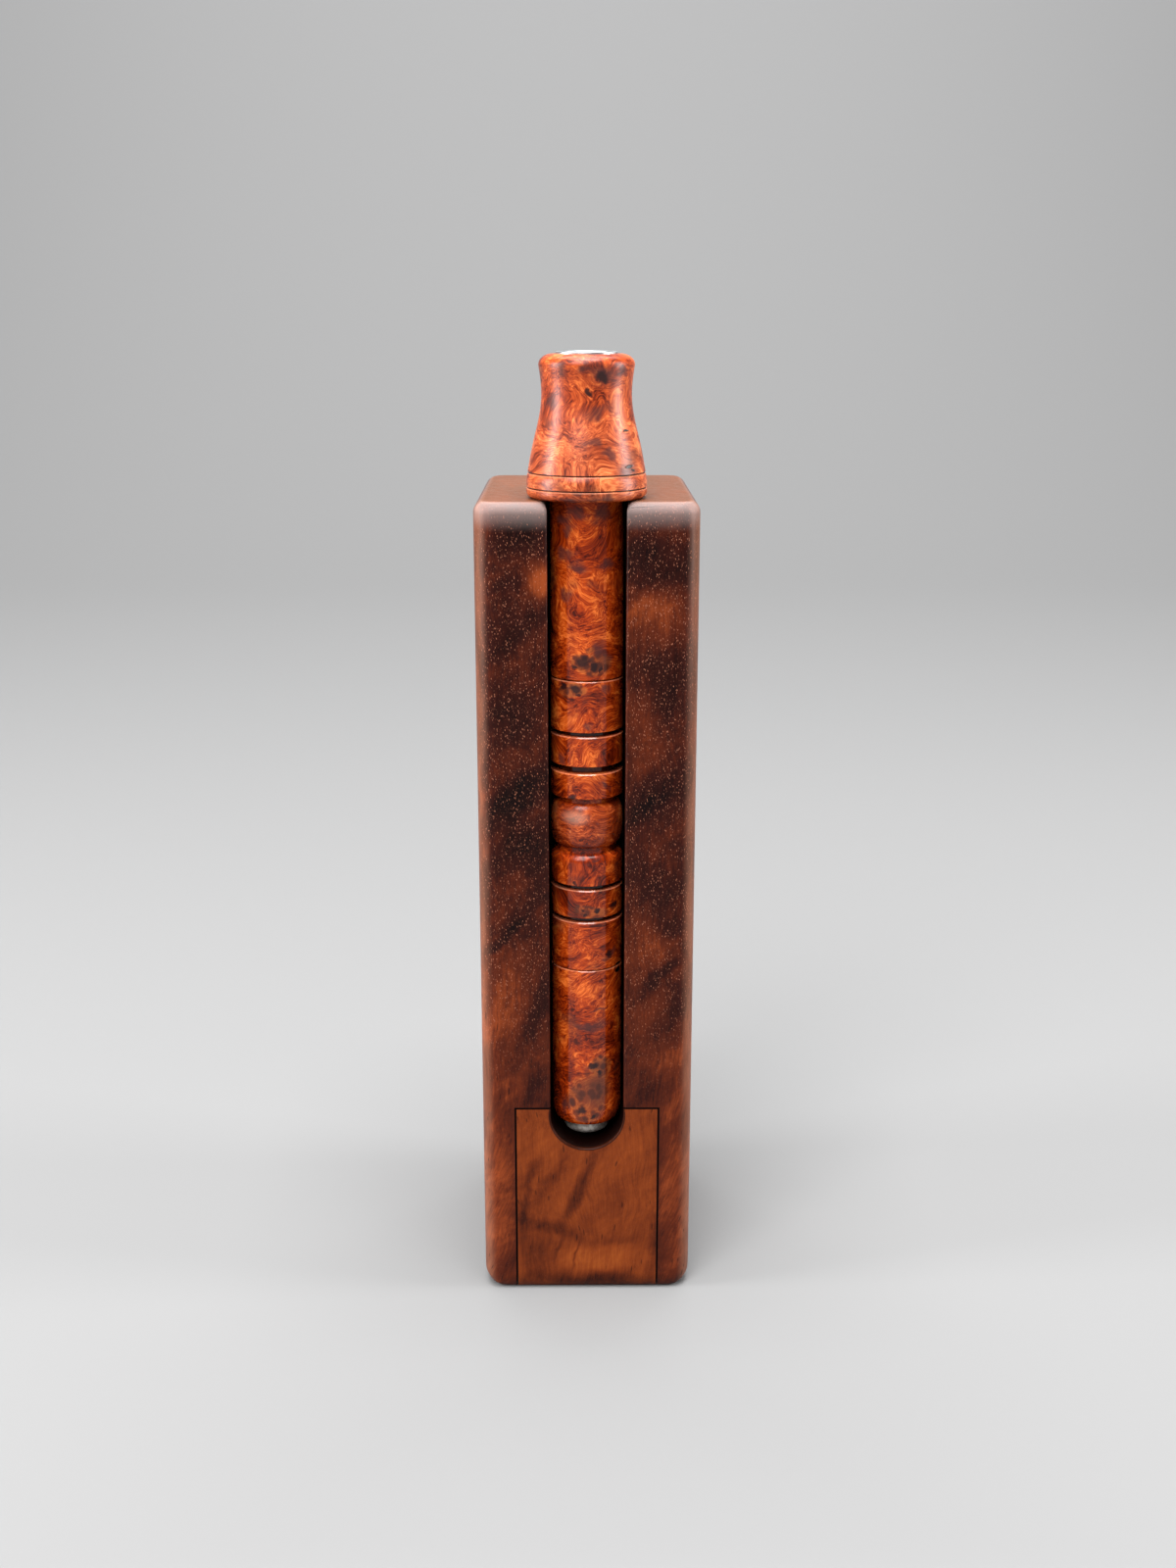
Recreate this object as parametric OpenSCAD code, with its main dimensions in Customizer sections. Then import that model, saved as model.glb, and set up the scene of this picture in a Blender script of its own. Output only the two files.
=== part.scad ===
// Turned burl stem in an upright walnut pocket case.
// The case has an open groove down its front that the stem stands in, hung by
// its flared head, and a storage drawer that drops out of the foot.
// Frame: +Z up, front is -Y, origin under the middle of the footprint.

/* [Case] */
// Width of the case, side to side
case_w = 32; // [28:0.5:40]
// Depth of the case, front to back
case_d = 42; // [34:0.5:52]
// Radius on the four upright edges
edge_r = 3.2; // [1.5:0.1:4.5]
// Radius round the crown
crown_r = 1.8; // [0.8:0.1:3]
// Radius at the foot's two side edges
foot_r = 2.8; // [1:0.1:4]
// Radius at the foot's front and back edges
toe_r = 1.4; // [0.6:0.1:3]

/* [Groove] */
// Gap between the stem and each side of the groove
groove_gap = 0.25; // [0.15:0.05:0.6]
// How far the stem's front lies behind the case's front face
stem_inset = 0.75; // [0.3:0.05:2]
// Radius where the groove runs out through the crown
mouth_r = 1.3; // [0.5:0.1:2]
// Small flat eased along the groove's front edges
ease = 0.3; // [0.1:0.05:0.6]

/* [Drawer] */
// Height of solid wood under the stem's end
foot_h = 24.1; // [16:0.5:34]
// Thickness of the case's two side walls beside the drawer
side_wall = 5; // [3.5:0.25:7]
// Thickness of the case's back wall behind the drawer
back_wall = 5; // [4:0.25:8]
// Straight part of the stem's notch above its round end
notch_rise = 1.3; // [0.5:0.1:4]
// Sliding clearance round the drawer
drawer_gap = 0.15; // [0.1:0.05:0.4]
// Thickness of the storage well's walls
well_wall = 3.4; // [2.8:0.2:5]
// Thickness of the storage well's floor
well_floor = 3; // [2:0.5:6]
// Travel that takes the drawer clear of the case
drawer_travel = 34; // [20:1:60]

/* [Head] */
// Radius of the head at its base
head_r = 8.55; // [7.8:0.05:10]
// Height of the straight band at the head's base
head_band_h = 2.5; // [1.8:0.1:4]
// Radius under the base's edge
head_foot_r = 0.9; // [0.4:0.1:1.5]
// Height of the flare from the band up to the waist
flare_h = 11.8; // [8:0.2:16]
// How hard the flare is drawn in just above the band
flare_draw = 2.7; // [0:0.1:4]
// Radius at the waist
waist_r = 6.35; // [5.8:0.05:7]
// Height from the waist up to the widest part of the lip
lip_rise = 4; // [2:0.2:7]
// Radius at the lip
lip_r = 6.75; // [6.2:0.05:7.5]
// Height of the round over the lip
lip_h = 1.5; // [0.8:0.1:2]
// Width of the flat left between the liner and the lip's round
lip_flat = 0.4; // [0.2:0.05:0.8]
// Width of the two scribed lines round the head
scribe_w = 0.3; // [0.2:0.05:0.6]
// Depth of the two scribed lines
scribe_d = 0.2; // [0.1:0.05:0.4]
// Spacing of the two scribed lines
scribe_step = 2.1; // [1.2:0.1:3]
// Height of the lower scribed line above the head's base
scribe_low = 1.3; // [1:0.1:2]

/* [Stem] */
// Radius of the stem below the head
stem_r = 5.35; // [4.8:0.05:6]
// Length of the shaft under the head, down to the first joint line
shaft_h = 25.6; // [16:0.2:36]
// Length of the plain stretch at each end of the middle barrel
plain_h = 7.6; // [4:0.2:12]
// Height of the upper wide ring
ring_a_h = 4.4; // [2.5:0.1:7]
// Height of the upper narrow ring
ring_b_h = 3.8; // [2.5:0.1:7]
// Height of the ring under the bead, shoulder included
ring_c_h = 4.7; // [3:0.1:7]
// Height of the lowest ring
ring_d_h = 4.3; // [2.5:0.1:7]
// Rise of the round shoulder on the ring under the bead
shoulder_h = 1.3; // [0.6:0.1:2]
// Height of the bead
bead_h = 6.8; // [4:0.2:9]
// Share of the bead's height that each of its rounded ends takes
bead_roll = 0.4; // [0.2:0.05:0.5]
// Radius of the neck above and below the bead
neck_r = 4.35; // [4.1:0.05:4.6]
// Height of each neck
neck_h = 0.9; // [0.5:0.1:1.5]
// Width of a narrow turned cut
cut_w = 0.7; // [0.4:0.05:1]
// Width of the wide turned cut
wide_cut_w = 1.1; // [0.8:0.05:1.6]
// Depth of the narrow cuts
cut_d = 0.7; // [0.4:0.05:1]
// How much deeper the wide cut goes
wide_cut_extra = 0.3; // [0:0.05:0.5]
// Length of the lower barrel
lower_h = 25.6; // [16:0.2:36]
// Width of the round at the lower barrel's end
lower_end_r = 1.6; // [1.4:0.1:2.3]
// Height of that round
lower_end_h = 3.8; // [1.4:0.1:7]
// Chamfer at each joint line
joint_chamfer = 0.2; // [0.1:0.05:0.35]
// Travel that takes the head section off the core tube
head_travel = 16; // [14.5:0.5:30]
// Travel that takes the stem clear of the groove
stem_travel = 26; // [24:1:40]

/* [Metal] */
// Outer radius of the core tube
core_r = 3; // [2.8:0.05:3.3]
// Radius of the passage through the stem
bore_r = 1.7; // [1.2:0.05:1.9]
// Length of core tube that stands up into the head section
tenon_h = 13.5; // [9:0.5:14]
// Room over the tenon's end in its socket
tenon_room = 0.5; // [0.2:0.1:1]
// Running clearance between the tenon and its socket
tenon_gap = 0.04; // [0.02:0.01:0.08]
// Outer radius of the mouth liner
liner_r = 4.4; // [4:0.05:4.6]
// Wall of the mouth liner
liner_wall = 0.7; // [0.4:0.05:0.9]
// Depth of the mouth liner inside the head
liner_depth = 15; // [8:0.5:17]
// How far the liner stands above the wood
liner_stand = 0.3; // [0.1:0.05:0.8]
// Height of the ferrule's dome below the wood
dome_h = 2.8; // [1.2:0.1:3.2]
// Radius of the dome where it meets the wood
dome_r = 3.5; // [3.3:0.05:3.6]
// Length of the ferrule's spigot inside the lower barrel
spigot_h = 4; // [2:0.5:8]
// Gap under the dome
end_gap = 0.5; // [0.3:0.05:1]
// Height of each seal ring
seal_h = 1.4; // [0.8:0.1:2]
// Depth of each seal ring's seat in the tenon
seal_d = 0.6; // [0.4:0.05:0.8]
// Share of the tenon's length that lies between the feet of the two seals
seal_spread = 0.4; // [0.3:0.05:0.6]

/* [Magnets] */
// Radius of the discs in the groove's back wall
cradle_disc_r = 2.5; // [1.5:0.1:4]
// Thickness of those discs
cradle_disc_t = 2; // [1:0.1:3]
// How far those discs are sunk below the wall
cradle_sink = 0.2; // [0.1:0.05:0.5]
// Radius of the drawer's catch discs
catch_disc_r = 3; // [2:0.1:4]
// Thickness of the drawer's catch discs
catch_disc_t = 2; // [1:0.1:2.4]
// Height of the catch discs above the foot
catch_z = 15; // [9:0.5:20]

/* [Hidden] */
$fn = 96;

over = 1;                       // how far a cutter runs past what it cuts
curve_steps = 14;               // straight steps in a turned curve

// Heights, stacked up from the foot
dome_z = foot_h + end_gap;
lower_z = dome_z + dome_h;
middle_z = lower_z + lower_h;
middle_h = 2*plain_h + ring_a_h + ring_b_h + ring_c_h + ring_d_h
         + bead_h + 2*neck_h + 3*cut_w + wide_cut_w;
shaft_z = middle_z + middle_h;
case_h = shaft_z + shaft_h;
seat_gap = 0.05;                // between the head's base and the crown
head_z = case_h + seat_gap;
waist_z = head_z + head_band_h + flare_h;
lip_z = waist_z + lip_rise;
rim_z = lip_z + lip_h;

// Places in plan; the footprint's middle is the origin
axis_in = stem_r + stem_inset;  // stem's axis behind the case's front face
overhang = max(0, head_r - axis_in);
case_y = overhang/2;
front_y = case_y - case_d/2;
back_y = case_y + case_d/2;
stem_y = front_y + axis_in;

groove_half = stem_r + groove_gap;
groove_back = stem_y + groove_half;
notch_z = foot_h + groove_half; // centre of the groove's round end
bay_top = notch_z + notch_rise;
bay_half = case_w/2 - side_wall;
bay_back = back_y - back_wall;
drawer_half = bay_half - drawer_gap;
drawer_top = bay_top - drawer_gap;
drawer_back = bay_back - drawer_gap;

// Cross-section with its middle on x = 0, standing on y = 0
module round_plate(w, h, r_low, r_high) {
    translate([-w/2, r_low]) square([w, h - r_low - r_high]);
    translate([-w/2 + r_low, 0]) square([w - 2*r_low, h/2]);
    translate([-w/2 + r_high, h/2]) square([w - 2*r_high, h/2]);
    for (s = [-1, 1]) {
        translate([s*(w/2 - r_low), r_low]) circle(r_low);
        translate([s*(w/2 - r_high), h - r_high]) circle(r_high);
    }
}

// The whole block, before the groove and the drawer are cut out of it
module block() {
    translate([0, case_y, 0]) intersection() {
        rotate([90, 0, 0])
            linear_extrude(case_d + 2*over, center = true)
                round_plate(case_w, case_h, foot_r, crown_r);
        rotate([90, 0, 90])
            linear_extrude(case_w + 2*over, center = true)
                round_plate(case_d, case_h, toe_r, crown_r);
        translate([0, -case_d/2, -over])
            linear_extrude(case_h + 2*over)
                round_plate(case_w, case_d, edge_r, edge_r);
    }
}

// Front view of the groove, from its round end up through the crown
module groove_outline() {
    translate([0, notch_z]) circle(groove_half);
    translate([-groove_half, notch_z]) square([2*groove_half, case_h - notch_z + over]);
    for (s = [0, 1]) mirror([s, 0]) difference() {
        translate([groove_half - over, case_h - mouth_r]) square([mouth_r + over, mouth_r + over]);
        translate([groove_half + mouth_r, case_h - mouth_r]) circle(mouth_r);
    }
}

module groove_cut() {
    translate([0, groove_back, 0]) rotate([90, 0, 0])
        linear_extrude(groove_back - front_y + over) groove_outline();
    // eased front edges, above the round end
    for (s = [0, 1]) mirror([s, 0, 0])
        translate([groove_half, front_y, notch_z])
            linear_extrude(case_h - notch_z + over)
                polygon([[-over, -over], [ease + over, -over], [ease, 0], [0, ease], [-over, ease]]);
}

// Disc on the y axis, its front face at y = 0 and its body behind it
module disc(r, t) {
    rotate([-90, 0, 0]) cylinder(r = r, h = t);
}

module cradle_disc(z) {
    translate([0, groove_back + cradle_sink, z]) disc(cradle_disc_r, cradle_disc_t);
}

cradle_upper_z = shaft_z + shaft_h/2;
cradle_lower_z = middle_z - lower_h/4;

module case_body() {
    color("#4a2a1e") difference() {
        block();
        groove_cut();
        // bay for the drawer
        translate([-bay_half, front_y - over, -over])
            cube([2*bay_half, bay_back - front_y + over, bay_top + over]);
        // blind seats for the discs
        for (z = [cradle_upper_z, cradle_lower_z])
            translate([0, groove_back - over, z])
                disc(cradle_disc_r, over + cradle_sink + cradle_disc_t);
        translate([0, bay_back - over, catch_z]) disc(catch_disc_r, over + catch_disc_t);
    }
}

module drawer() {
    well_front = groove_back + well_wall;
    well_half = drawer_half - well_wall;
    color("#6b3a22") difference() {
        intersection() {
            block();
            translate([-drawer_half, front_y - over, -over])
                cube([2*drawer_half, drawer_back - front_y + over, drawer_top + over]);
        }
        groove_cut();
        translate([-well_half, well_front, well_floor])
            cube([2*well_half, drawer_back - well_wall - well_front, drawer_top]);
        translate([0, drawer_back - catch_disc_t, catch_z]) disc(catch_disc_r, catch_disc_t + over);
    }
}

module cradle_magnet_upper() {
    color("#b9bcc0") cradle_disc(cradle_upper_z);
}

module cradle_magnet_lower() {
    color("#b9bcc0") cradle_disc(cradle_lower_z);
}

module bay_magnet() {
    color("#b9bcc0") translate([0, bay_back, catch_z]) disc(catch_disc_r, catch_disc_t);
}

module drawer_magnet() {
    color("#b9bcc0") translate([0, drawer_back - catch_disc_t, catch_z])
        disc(catch_disc_r, catch_disc_t);
}

// Turned shape about the stem's axis, from an outline of [radius, height] points
module turned(outline) {
    translate([0, stem_y, 0]) rotate_extrude() polygon(outline);
}

// Round bar on the stem's axis
module bar(r, z, h) {
    translate([0, stem_y, z]) cylinder(r = r, h = h);
}

// Radius of the head's flare, from the band at t = 0 up to the waist at t = 1
function flare_at(t) = waist_r + (head_r - waist_r)*(1 + cos(180*t))/2 - flare_draw*t*(1 - t)^4;

// Radius from the waist at t = 0 up to the lip at t = 1
function lip_at(t) = waist_r + (lip_r - waist_r)*(1 - cos(90*t));

// Quarter round from the outside at angle 0 to the top or bottom at 90
function quarter(r, z, rr, rz, from, to) =
    [for (i = [0:curve_steps/2]) let (a = from + (to - from)*i/(curve_steps/2))
        [r + rr*cos(a), z + rz*sin(a)]];

// Square cut round the outside of a turned piece
module ring_cut(z, w, r, d) {
    translate([0, stem_y, z]) rotate_extrude()
        translate([r - d, 0]) square([d + over, w]);
}

lip_round = lip_r - liner_r - lip_flat;

module head_section() {
    color("#a04a1c") difference() {
        turned(concat(
            [[0, shaft_z], [stem_r - joint_chamfer, shaft_z], [stem_r, shaft_z + joint_chamfer],
             [stem_r, head_z]],
            quarter(head_r - head_foot_r, head_z + head_foot_r, head_foot_r, head_foot_r, -90, 0),
            [for (i = [0:curve_steps]) let (t = i/curve_steps)
                [flare_at(t), head_z + head_band_h + t*flare_h]],
            [for (i = [1:curve_steps]) let (t = i/curve_steps)
                [lip_at(t), waist_z + t*lip_rise]],
            quarter(lip_r - lip_round, lip_z, lip_round, lip_h, 0, 90),
            [[0, rim_z]]));
        for (h = [scribe_low, scribe_low + scribe_step])
            ring_cut(head_z + h, scribe_w, flare_at(max(0, h - head_band_h)/flare_h), scribe_d);
        bar(core_r + tenon_gap, shaft_z - over, over + tenon_h + tenon_room);
        bar(bore_r, shaft_z, rim_z - shaft_z);
        bar(liner_r, rim_z - liner_depth, liner_depth + over);
    }
}

module mouth_liner() {
    color("#d4d8dc") difference() {
        bar(liner_r, rim_z - liner_depth, liner_depth + liner_stand);
        bar(liner_r - liner_wall, rim_z - liner_depth - over, liner_depth + liner_stand + 2*over);
    }
}

// Heights inside the middle barrel, from its lower end up
cut_d_z = middle_z + plain_h;
cut_c_z = cut_d_z + cut_w + ring_d_h;
shoulder_z = cut_c_z + cut_w + ring_c_h;
bead_z = shoulder_z + neck_h;
upper_neck_z = bead_z + bead_h;
ring_b_z = upper_neck_z + neck_h;
wide_cut_z = ring_b_z + ring_b_h;
cut_a_z = wide_cut_z + wide_cut_w + ring_a_h;

module middle_barrel() {
    bead_round = stem_r - neck_r;
    roll_h = bead_h*bead_roll;
    color("#a04a1c") difference() {
        turned(concat(
            [[0, middle_z], [stem_r - joint_chamfer, middle_z], [stem_r, middle_z + joint_chamfer]],
            quarter(neck_r, shoulder_z - shoulder_h, bead_round, shoulder_h, 0, 90),
            quarter(neck_r, bead_z + roll_h, bead_round, roll_h, -90, 0),
            quarter(neck_r, upper_neck_z - roll_h, bead_round, roll_h, 0, 90),
            [[neck_r, ring_b_z], [stem_r, ring_b_z],
             [stem_r, shaft_z - joint_chamfer], [stem_r - joint_chamfer, shaft_z], [0, shaft_z]]));
        ring_cut(cut_d_z, cut_w, stem_r, cut_d);
        ring_cut(cut_c_z, cut_w, stem_r, cut_d);
        ring_cut(wide_cut_z, wide_cut_w, stem_r, cut_d + wide_cut_extra);
        ring_cut(cut_a_z, cut_w, stem_r, cut_d);
        bar(core_r, middle_z - over, middle_h + 2*over);
    }
}

module lower_barrel() {
    color("#a04a1c") difference() {
        turned(concat(
            [[0, lower_z]],
            quarter(stem_r - lower_end_r, lower_z + lower_end_h, lower_end_r, lower_end_h, -90, 0),
            [[stem_r, middle_z - joint_chamfer], [stem_r - joint_chamfer, middle_z],
             [0, middle_z]]));
        bar(core_r, lower_z - over, lower_h + 2*over);
    }
}

core_z = lower_z + spigot_h;
core_top = shaft_z + tenon_h;
seal_low_z = shaft_z + tenon_h*(1 - seal_spread)/2;
seal_high_z = shaft_z + tenon_h*(1 + seal_spread)/2;

module core_tube() {
    color("#9ea2a6") difference() {
        bar(core_r, core_z, core_top - core_z);
        bar(bore_r, core_z - over, core_top - core_z + 2*over);
        for (z = [seal_low_z, seal_high_z]) ring_cut(z, seal_h, core_r, seal_d);
    }
}

// Flat-backed rubber ring with a round outside
module seal(z) {
    color("#202020") translate([0, stem_y, z]) rotate_extrude()
        translate([core_r - seal_d, 0]) square([seal_d + tenon_gap/2, seal_h]);
}

module seal_upper() { seal(seal_high_z); }

module seal_lower() { seal(seal_low_z); }

module end_ferrule() {
    dome_ball = (dome_r*dome_r + dome_h*dome_h)/(2*dome_h);
    color("#b4b8bc") difference() {
        union() {
            intersection() {
                translate([0, stem_y, dome_z + dome_ball]) sphere(dome_ball);
                bar(dome_ball, dome_z, dome_h);
            }
            bar(core_r, lower_z, spigot_h);
        }
        bar(bore_r, dome_z - over, dome_h + spigot_h + 2*over);
    }
}

case_body();
drawer();
cradle_magnet_upper();
cradle_magnet_lower();
bay_magnet();
drawer_magnet();
head_section();
mouth_liner();
middle_barrel();
lower_barrel();
core_tube();
seal_upper();
seal_lower();
end_ferrule();
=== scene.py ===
"""Turned burl stem standing in an upright walnut pocket case with a drop-out drawer."""
import math

import bmesh
import bpy
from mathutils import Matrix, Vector


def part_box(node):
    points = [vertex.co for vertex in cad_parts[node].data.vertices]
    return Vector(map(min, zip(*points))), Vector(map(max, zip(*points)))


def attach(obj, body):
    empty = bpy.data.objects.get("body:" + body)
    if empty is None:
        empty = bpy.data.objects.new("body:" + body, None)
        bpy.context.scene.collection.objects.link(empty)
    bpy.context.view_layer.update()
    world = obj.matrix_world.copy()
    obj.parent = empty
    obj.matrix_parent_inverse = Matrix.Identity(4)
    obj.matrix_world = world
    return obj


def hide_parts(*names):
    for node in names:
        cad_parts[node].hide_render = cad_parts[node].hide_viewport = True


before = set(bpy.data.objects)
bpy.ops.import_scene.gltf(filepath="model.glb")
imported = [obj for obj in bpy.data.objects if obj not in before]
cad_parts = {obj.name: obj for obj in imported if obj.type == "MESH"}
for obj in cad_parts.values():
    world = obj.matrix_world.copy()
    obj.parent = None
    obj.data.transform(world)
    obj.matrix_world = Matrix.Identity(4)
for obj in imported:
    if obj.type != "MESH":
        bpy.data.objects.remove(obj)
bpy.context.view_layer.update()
MM = 0.001

# ---------------------------------------------------------------- Case
# One block of dark reddish walnut with the grain upright, rounded by hand on
# every edge and oiled to a satin. The groove is routed down its front, and
# the drawer's bay is cut up from the foot.

case_low, case_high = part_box("case_body")
drawer_low, drawer_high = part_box("drawer")
case_w = case_high.x - case_low.x
case_d = case_high.y - case_low.y
case_h = case_high.z
case_y = (case_low.y + case_high.y)/2
edge_r = 3.2*MM
crown_r = 1.8*MM
foot_side_r = 2.8*MM
foot_front_r = 1.4*MM
back_wall = 5*MM
drawer_gap = 0.15*MM
bay_half = drawer_high.x + drawer_gap
bay_top = drawer_high.z + drawer_gap
stem_low, stem_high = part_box("lower_barrel")
stem_y = (stem_low.y + stem_high.y)/2
stem_r = (stem_high.x - stem_low.x)/2
stem_gap = 0.25*MM
groove_half = stem_r + stem_gap
groove_back = stem_y + groove_half
mouth_r = 1.3*MM
notch_drop = 1.3*MM
notch_z = bay_top - notch_drop
over = 2*MM              # how far a cutter runs past the wood
weld = 1e-6              # corners nearer than this are one
ROUND_STEPS = 8
NOTCH_STEPS = 40


def round_ring(bm, face, radius_x, radius_y, up):
    """Rolls one end face of an upright prism over to a round edge.

    radius_x is how far the sides are rolled, radius_y the front and the back.
    up is 1 for the top face and -1 for the bottom one.
    """
    inset_before = 0.0
    extra_before = 0.0
    for step in range(1, ROUND_STEPS + 1):
        angle = math.pi/2*step/ROUND_STEPS
        inset = radius_x*(1 - math.cos(angle))
        rise = radius_x*(math.sin(angle) - math.sin(math.pi/2*(step - 1)/ROUND_STEPS))
        bmesh.ops.inset_region(bm, faces=[face], thickness=inset - inset_before,
                               use_even_offset=True)
        extra = (radius_x - radius_y)*(1 - math.cos(angle))
        for vert in face.verts:
            vert.co.z += up*rise
            vert.co.y += math.copysign(extra - extra_before, vert.co.y - case_y)
        inset_before = inset
        extra_before = extra


def block_mesh(bm):
    """The rounded block, with the grain upright."""
    corners = [(-1, -1), (1, -1), (1, 1), (-1, 1)]
    verts = [bm.verts.new((x*case_w/2, case_y + y*case_d/2, foot_side_r)) for x, y in corners]
    bm.faces.new(verts)
    bmesh.ops.bevel(bm, geom=bm.verts[:], offset=edge_r, segments=ROUND_STEPS, profile=0.5,
                    affect="VERTICES", material=-1, offset_type="OFFSET")
    bottom = bm.faces[:][0]
    grown = bmesh.ops.extrude_face_region(bm, geom=[bottom], use_keep_orig=True)
    top = [part for part in grown["geom"] if isinstance(part, bmesh.types.BMFace)][0]
    bmesh.ops.translate(bm, vec=(0, 0, case_h - crown_r - foot_side_r), verts=top.verts[:])
    bmesh.ops.recalc_face_normals(bm, faces=bm.faces[:])
    round_ring(bm, top, crown_r, crown_r, 1)
    round_ring(bm, bottom, foot_side_r, foot_front_r, -1)
    bmesh.ops.recalc_face_normals(bm, faces=bm.faces[:])


def box_mesh(bm, low, high):
    """A plain box between two corners."""
    low = Vector(low)
    high = Vector(high)
    made = bmesh.ops.create_cube(bm, size=1.0)
    bmesh.ops.scale(bm, vec=high - low, verts=made["verts"])
    bmesh.ops.translate(bm, vec=(low + high)/2, verts=made["verts"])


def groove_mesh(bm):
    """The groove's cutter: round at its lower end, flared where it leaves the crown."""
    above = case_h + 2*over
    front = case_low.y - 2*over
    sliver = 0.02*MM
    wide = groove_half + mouth_r + over
    outline = [(-groove_half, notch_z), (-groove_half, case_h + sliver), (-wide, case_h + sliver),
               (-wide, above), (wide, above), (wide, case_h + sliver),
               (groove_half, case_h + sliver), (groove_half, notch_z)]
    verts = [bm.verts.new((x, front, z)) for x, z in outline]
    for first, second in zip(verts, verts[1:]):
        bm.edges.new((first, second))
    flares = [verts[1], verts[6]]
    bmesh.ops.bevel(bm, geom=flares, offset=mouth_r, segments=ROUND_STEPS, profile=0.5,
                    affect="VERTICES", material=-1)
    ends = sorted(bm.verts, key=lambda vert: vert.co.z)[:2]
    ends.sort(key=lambda vert: vert.co.x)
    bmesh.ops.spin(bm, geom=[ends[0]], cent=(0, front, notch_z), axis=(0, 1, 0),
                   angle=-math.pi, steps=NOTCH_STEPS)
    bmesh.ops.remove_doubles(bm, verts=bm.verts[:], dist=weld)
    bmesh.ops.contextual_create(bm, geom=bm.edges[:])
    grown = bmesh.ops.extrude_face_region(bm, geom=bm.faces[:], use_keep_orig=True)
    back = [part for part in grown["geom"] if isinstance(part, bmesh.types.BMVert)]
    bmesh.ops.translate(bm, vec=(0, groove_back - front, 0), verts=back)
    bmesh.ops.recalc_face_normals(bm, faces=bm.faces[:])


def solid(maker, *sizes):
    """An object made by one of the mesh functions, with its sizes."""
    bm = bmesh.new()
    maker(bm, *sizes)
    mesh = bpy.data.meshes.new("shape")
    bm.to_mesh(mesh)
    bm.free()
    shape = bpy.data.objects.new("shape", mesh)
    bpy.context.scene.collection.objects.link(shape)
    return shape


def cut(shape, tool, operation="DIFFERENCE"):
    """Cuts a tool out of a shape, or keeps what they share, and uses the tool up."""
    step = shape.modifiers.new("cut", "BOOLEAN")
    step.operation = operation
    step.object = tool
    step.solver = "EXACT"
    depsgraph = bpy.context.evaluated_depsgraph_get()
    mesh = bpy.data.meshes.new_from_object(shape.evaluated_get(depsgraph))
    shape.modifiers.clear()
    shape.data = mesh
    bpy.data.objects.remove(tool)


def ease_edges(shape, chosen, width, steps):
    """Breaks the sharp edges that a test picks, by that width."""
    nearly_flat = math.radians(0.5)
    sharp_from = math.radians(40)
    bm = bmesh.new()
    bm.from_mesh(shape.data)
    bmesh.ops.remove_doubles(bm, verts=bm.verts[:], dist=weld)
    bmesh.ops.dissolve_limit(bm, angle_limit=nearly_flat, verts=bm.verts[:], edges=bm.edges[:])
    sharp = [edge for edge in bm.edges if len(edge.link_faces) == 2
             and edge.calc_face_angle() > sharp_from and chosen(edge)]
    bmesh.ops.bevel(bm, geom=sharp, offset=width, segments=steps, profile=0.5, affect="EDGES",
                    material=-1, clamp_overlap=False, loop_slide=True)
    bmesh.ops.recalc_face_normals(bm, faces=bm.faces[:])
    bm.to_mesh(shape.data)
    bm.free()


def finish_piece(shape, name, material, body, stands_for):
    """Names a piece, shades it, gives it its finish and fixes it to its body."""
    crease = math.radians(38)
    shape.name = name
    shape.data.name = name
    shape.data.materials.clear()
    shape.data.materials.append(material)
    shape.data.shade_smooth()
    shape.data.set_sharp_from_angle(angle=crease)
    weighted = shape.modifiers.new("flat faces first", "WEIGHTED_NORMAL")
    weighted.keep_sharp = True
    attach(shape, body)
    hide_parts(*stands_for)


def on_groove(edge):
    """True for the long front edges of the groove and its round end."""
    margin = 0.5*MM
    middle = (edge.verts[0].co + edge.verts[1].co)/2
    near_front = middle.y < case_low.y + edge_r
    return near_front and abs(middle.x) < groove_half + mouth_r + margin


def new_material(name):
    """A named material with an empty Principled shader to build on."""
    material = bpy.data.materials.new(name)
    material.use_nodes = True
    shader = material.node_tree.nodes["Principled BSDF"]
    return material, material.node_tree, shader


def put(tree, kind, values=None, **settings):
    """A node of that kind, with its settings and its input values."""
    node = tree.nodes.new(kind)
    for key, value in settings.items():
        setattr(node, key, value)
    for key, value in (values or {}).items():
        node.inputs[key].default_value = value
    return node


def math_node(tree, operation, first, second=None, third=None):
    """One step of arithmetic; each term is a socket or a number."""
    node = put(tree, "ShaderNodeMath", operation=operation)
    for index, term in enumerate((first, second, third)):
        if term is None:
            continue
        if isinstance(term, (int, float)):
            node.inputs[index].default_value = term
        else:
            tree.links.new(term, node.inputs[index])
    return node.outputs[0]


def stretched(tree, vector, scale, turn=(0, 0, 0), shift=(0, 0, 0)):
    """The coordinates turned, then scaled by a different amount each way."""
    turned_node = put(tree, "ShaderNodeMapping", {"Location": shift, "Rotation": turn})
    tree.links.new(vector, turned_node.inputs["Vector"])
    scaled = put(tree, "ShaderNodeMapping", {"Scale": scale})
    tree.links.new(turned_node.outputs[0], scaled.inputs["Vector"])
    return scaled.outputs[0]


def noise(tree, vector, scale=1.0, detail=3.0, roughness=0.5, out="Fac"):
    """Noise read at those coordinates."""
    node = put(tree, "ShaderNodeTexNoise",
               {"Scale": scale, "Detail": detail, "Roughness": roughness})
    tree.links.new(vector, node.inputs["Vector"])
    return node.outputs[out]


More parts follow.
